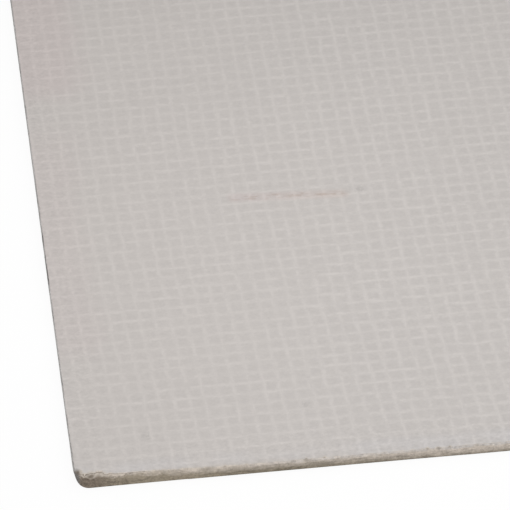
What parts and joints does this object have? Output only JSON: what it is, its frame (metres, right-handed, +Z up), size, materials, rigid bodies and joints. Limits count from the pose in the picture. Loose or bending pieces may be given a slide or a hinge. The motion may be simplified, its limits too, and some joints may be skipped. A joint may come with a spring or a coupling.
{
  "type": "racking board",
  "caption": "Flat rectangular magnesium oxide racking board with a glass net showing in its face, sawn ends and one knocked corner, fixed to studs to brace a framed wall.",
  "frame": {"origin": "middle of the back face, which lies on the floor", "axes": "+X across the width, +Y along the length away from the knocked end, +Z up out of the face"},
  "size_m": [1.2, 2.4, 0.009],
  "materials": {
    "board": "matt, pale warm grey, with a glass net showing faintly through the face and a rough tan core on the sawn edges"
  },
  "bodies": {
    "root": {"racking_board": "board"}
  },
  "joints": []
}
